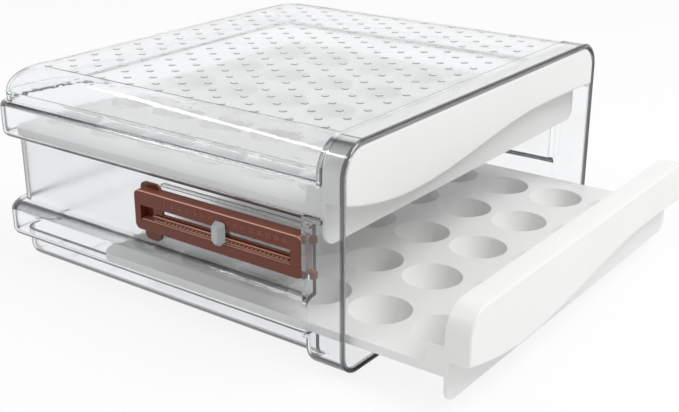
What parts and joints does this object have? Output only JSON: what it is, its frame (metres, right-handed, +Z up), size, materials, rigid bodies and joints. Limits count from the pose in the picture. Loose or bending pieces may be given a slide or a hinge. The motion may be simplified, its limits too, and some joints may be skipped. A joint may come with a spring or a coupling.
{
  "type": "egg drawer organizer",
  "caption": "Clear stacked egg organizer with white pull-out trays of drained cups, wavy clip-on front covers, a rounded lid and a sliding date scale.",
  "frame": {"origin": "centre of the underside of the case: middle of its width, middle of its depth, at the height it stands on", "axes": "+X to the right seen from the front, -Y out of the open front, +Z up"},
  "size_m": [0.3227, 0.3754, 0.14],
  "materials": {
    "clear_plastic": "clear, polished",
    "white_plastic": "smooth satin",
    "brown_plastic": "smooth, slight gloss",
    "grey_plastic": "smooth satin"
  },
  "bodies": {
    "case": {"case_body": "clear_plastic", "top_cover": "clear_plastic", "date_scale_frame": "brown_plastic"},
    "upper_drawer": {"upper_tray": "white_plastic", "upper_front_cover": "white_plastic"},
    "lower_drawer": {"lower_tray": "white_plastic", "lower_front_cover": "white_plastic"},
    "date_slider": {"date_scale_slider": "grey_plastic"}
  },
  "joints": [
    {"name": "upper_drawer_slide", "type": "slide", "parent": "case", "child": "upper_drawer", "axis": [0, -1, 0], "range_m": [0, 0.2]},
    {"name": "lower_drawer_slide", "type": "slide", "parent": "case", "child": "lower_drawer", "axis": [0, -1, 0], "range_m": [-0.08, 0.12]},
    {"name": "date_slider_slide", "type": "slide", "parent": "case", "child": "date_slider", "axis": [0, 1, 0], "range_m": [-0.05, 0.045]}
  ]
}
